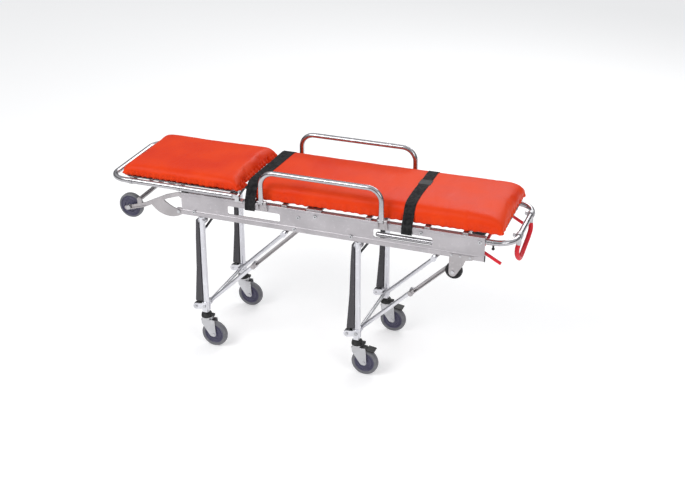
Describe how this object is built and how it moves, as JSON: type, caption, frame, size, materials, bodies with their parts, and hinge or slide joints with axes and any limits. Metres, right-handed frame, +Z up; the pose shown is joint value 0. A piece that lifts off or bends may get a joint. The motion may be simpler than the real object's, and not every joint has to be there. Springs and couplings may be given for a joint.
{
  "type": "stretcher trolley",
  "caption": "Folding-leg ambulance stretcher trolley with tilting backrest, side guards, castors, loading wheels and strapped two-part mattress.",
  "frame": {"origin": "on the floor under the middle of the trolley, between the outer faces of its two end bows", "axes": "+Z up, +X along the trolley from the head end to the foot end, +Y across to the side away from the viewer"},
  "size_m": [1.9005, 0.509, 0.9465],
  "materials": {
    "satin_rail": "satin anodised extrusion",
    "satin_frame": "satin sheet and bar",
    "leg_tube": "satin tube",
    "bright_tube": "polished tube",
    "zinc": "zinc-plated steel",
    "dark_paint": "dark semi-gloss paint",
    "black_plastic": "moulded, matte",
    "guard_plastic": "moulded, fine texture",
    "black_rubber": "matte rubber",
    "caster_tyre": "grey non-marking tyre on a dark blue-grey centre",
    "mattress_vinyl": "orange-red coated fabric, semi-gloss",
    "webbing": "black woven webbing",
    "red_handle": "crimson plastic coating"
  },
  "bodies": {
    "frame": {"rail_near": "satin_rail", "rail_far": "satin_rail", "rail_end_plugs": "black_plastic", "rail_bolts": "dark_paint", "cross_bars": "satin_frame", "deck_panel": "satin_frame", "foot_bow": "bright_tube", "bow_buffers": "black_rubber", "carry_tubes": "bright_tube", "leg_hangers": "satin_frame", "strut_brackets": "zinc", "load_arms": "satin_frame", "wheel_bolts": "zinc", "guard_brackets": "satin_frame", "aux_forks": "satin_frame", "rest_blocks": "black_rubber", "stay_bracket": "satin_frame", "main_mattress": "mattress_vinyl", "chest_strap": "webbing", "leg_strap": "webbing", "strap_buckle": "black_plastic", "backrest_hinges": "zinc"},
    "backrest": {"backrest_frame": "bright_tube", "backrest_deck": "satin_frame", "head_cushion": "mattress_vinyl"},
    "stay_cylinder": {"stay_cylinder": "dark_paint"},
    "stay_rod": {"stay_rod": "bright_tube"},
    "side_guard_near": {"side_guard_near": "bright_tube"},
    "side_guard_far": {"side_guard_far": "bright_tube"},
    "head_leg_set": {"head_legs": "leg_tube", "head_leg_guards": "guard_plastic", "head_pivot_tube": "dark_paint", "head_leg_axles": "zinc", "head_caster_heads": "black_plastic"},
    "foot_leg_set": {"foot_legs": "leg_tube", "foot_leg_guards": "guard_plastic", "foot_pivot_tube": "dark_paint", "foot_leg_axles": "zinc", "foot_caster_heads": "black_plastic"},
    "head_rollers": {"head_rollers": "black_rubber"},
    "foot_rollers": {"foot_rollers": "black_rubber"},
    "head_lower_struts": {"head_lower_struts": "leg_tube"},
    "head_upper_struts": {"head_upper_struts": "satin_frame"},
    "foot_lower_struts": {"foot_lower_struts": "leg_tube"},
    "foot_upper_struts": {"foot_upper_struts": "satin_frame"},
    "loading_wheels": {"loading_wheels": "caster_tyre"},
    "aux_wheels": {"aux_wheels": "black_rubber"},
    "loop_handle": {"loop_handle": "red_handle", "handle_clamps": "zinc"},
    "release_levers": {"release_levers": "red_handle"},
    "caster_head_near": {"caster_fork_head_near": "zinc"},
    "wheel_head_near": {"wheel_head_near": "caster_tyre"},
    "caster_head_far": {"caster_fork_head_far": "zinc"},
    "wheel_head_far": {"wheel_head_far": "caster_tyre"},
    "caster_foot_near": {"caster_fork_foot_near": "zinc"},
    "wheel_foot_near": {"wheel_foot_near": "caster_tyre"},
    "caster_foot_far": {"caster_fork_foot_far": "zinc"},
    "wheel_foot_far": {"wheel_foot_far": "caster_tyre"},
    "brake_pedal_near": {"brake_pedal_near": "black_plastic"},
    "brake_pedal_far": {"brake_pedal_far": "black_plastic"}
  },
  "joints": [
    {"name": "head_leg_fold", "type": "hinge", "parent": "frame", "child": "head_leg_set", "pos_m": [-0.495, 0, 0.64], "axis": [0, -1, 0], "range_deg": [0, 76]},
    {"name": "head_lower_strut", "type": "hinge", "parent": "head_leg_set", "child": "head_lower_struts", "pos_m": [-0.495, 0, 0.206], "axis": [0, -1, 0], "range_deg": [0, 24.07]},
    {"name": "head_upper_strut", "type": "hinge", "parent": "frame", "child": "head_upper_struts", "pos_m": [-0.016, 0, 0.674], "axis": [0, -1, 0], "range_deg": [-53.96, 0]},
    {"name": "head_roller_spin", "type": "hinge", "parent": "head_leg_set", "child": "head_rollers", "pos_m": [-0.54, 0, 0.2], "axis": [0, 1, 0], "continuous": true},
    {"name": "foot_leg_fold", "type": "hinge", "parent": "frame", "child": "foot_leg_set", "pos_m": [0.251, 0, 0.64], "axis": [0, -1, 0], "range_deg": [0, 76]},
    {"name": "foot_lower_strut", "type": "hinge", "parent": "foot_leg_set", "child": "foot_lower_struts", "pos_m": [0.251, 0, 0.206], "axis": [0, -1, 0], "range_deg": [0, 24.07]},
    {"name": "foot_upper_strut", "type": "hinge", "parent": "frame", "child": "foot_upper_struts", "pos_m": [0.73, 0, 0.674], "axis": [0, -1, 0], "range_deg": [-53.96, 0]},
    {"name": "foot_roller_spin", "type": "hinge", "parent": "foot_leg_set", "child": "foot_rollers", "pos_m": [0.206, 0, 0.2], "axis": [0, 1, 0], "continuous": true},
    {"name": "backrest_tilt", "type": "hinge", "parent": "frame", "child": "backrest", "pos_m": [-0.3, 0, 0.799], "axis": [0, 1, 0], "range_deg": [0, 75]},
    {"name": "stay_swing", "type": "hinge", "parent": "frame", "child": "stay_cylinder", "pos_m": [-0.33, 0, 0.735], "axis": [0, 1, 0], "range_deg": [0, 71.51]},
    {"name": "stay_slide", "type": "slide", "parent": "stay_cylinder", "child": "stay_rod", "axis": [-0.9919, 0, 0.1272], "range_m": [0, 0.08192]},
    {"name": "near_guard_fold", "type": "hinge", "parent": "frame", "child": "side_guard_near", "pos_m": [0, -0.243, 0.79], "axis": [1, 0, 0], "range_deg": [0, 157]},
    {"name": "far_guard_fold", "type": "hinge", "parent": "frame", "child": "side_guard_far", "pos_m": [0, 0.243, 0.79], "axis": [-1, 0, 0], "range_deg": [0, 157]},
    {"name": "head_near_caster_swivel", "type": "hinge", "parent": "head_leg_set", "child": "caster_head_near", "pos_m": [-0.495, -0.208, 0.14], "axis": [0, 0, 1], "continuous": true},
    {"name": "head_near_wheel_spin", "type": "hinge", "parent": "caster_head_near", "child": "wheel_head_near", "pos_m": [-0.457, -0.208, 0.0625], "axis": [0, 1, 0], "continuous": true},
    {"name": "head_far_caster_swivel", "type": "hinge", "parent": "head_leg_set", "child": "caster_head_far", "pos_m": [-0.495, 0.208, 0.14], "axis": [0, 0, 1], "continuous": true},
    {"name": "head_far_wheel_spin", "type": "hinge", "parent": "caster_head_far", "child": "wheel_head_far", "pos_m": [-0.457, 0.208, 0.0625], "axis": [0, 1, 0], "continuous": true},
    {"name": "foot_near_caster_swivel", "type": "hinge", "parent": "foot_leg_set", "child": "caster_foot_near", "pos_m": [0.251, -0.208, 0.14], "axis": [0, 0, 1], "continuous": true},
    {"name": "foot_near_wheel_spin", "type": "hinge", "parent": "caster_foot_near", "child": "wheel_foot_near", "pos_m": [0.289, -0.208, 0.0625], "axis": [0, 1, 0], "continuous": true},
    {"name": "foot_far_caster_swivel", "type": "hinge", "parent": "foot_leg_set", "child": "caster_foot_far", "pos_m": [0.251, 0.208, 0.14], "axis": [0, 0, 1], "continuous": true},
    {"name": "foot_far_wheel_spin", "type": "hinge", "parent": "caster_foot_far", "child": "wheel_foot_far", "pos_m": [0.289, 0.208, 0.0625], "axis": [0, 1, 0], "continuous": true},
    {"name": "near_brake_press", "type": "hinge", "parent": "caster_foot_near", "child": "brake_pedal_near", "pos_m": [0.269, -0.208, 0.127], "axis": [0, 1, 0], "range_deg": [0, 5]},
    {"name": "far_brake_press", "type": "hinge", "parent": "caster_foot_far", "child": "brake_pedal_far", "pos_m": [0.269, 0.208, 0.127], "axis": [0, 1, 0], "range_deg": [0, 5]},
    {"name": "loading_wheel_spin", "type": "hinge", "parent": "frame", "child": "loading_wheels", "pos_m": [-0.852, 0, 0.66], "axis": [0, 1, 0], "continuous": true},
    {"name": "aux_wheel_spin", "type": "hinge", "parent": "frame", "child": "aux_wheels", "pos_m": [0.685, 0, 0.599], "axis": [0, 1, 0], "continuous": true},
    {"name": "loop_handle_swing", "type": "hinge", "parent": "frame", "child": "loop_handle", "pos_m": [0.934, 0, 0.755], "axis": [0, -1, 0], "range_deg": [0, 60]},
    {"name": "release_lever_lift", "type": "hinge", "parent": "frame", "child": "release_levers", "pos_m": [0.796, 0, 0.71], "axis": [0, -1, 0], "range_deg": [0, 20]}
  ],
  "couplings": [
    {"joint": "head_lower_strut", "follows": "head_leg_fold", "ratio": 0.31658},
    {"joint": "head_upper_strut", "follows": "head_leg_fold", "ratio": -0.70991},
    {"joint": "foot_lower_strut", "follows": "foot_leg_fold", "ratio": 0.31658},
    {"joint": "foot_upper_strut", "follows": "foot_leg_fold", "ratio": -0.70991},
    {"joint": "stay_swing", "follows": "backrest_tilt", "ratio": 0.95335},
    {"joint": "stay_slide", "follows": "backrest_tilt", "m_per_rad": 0.062575}
  ]
}
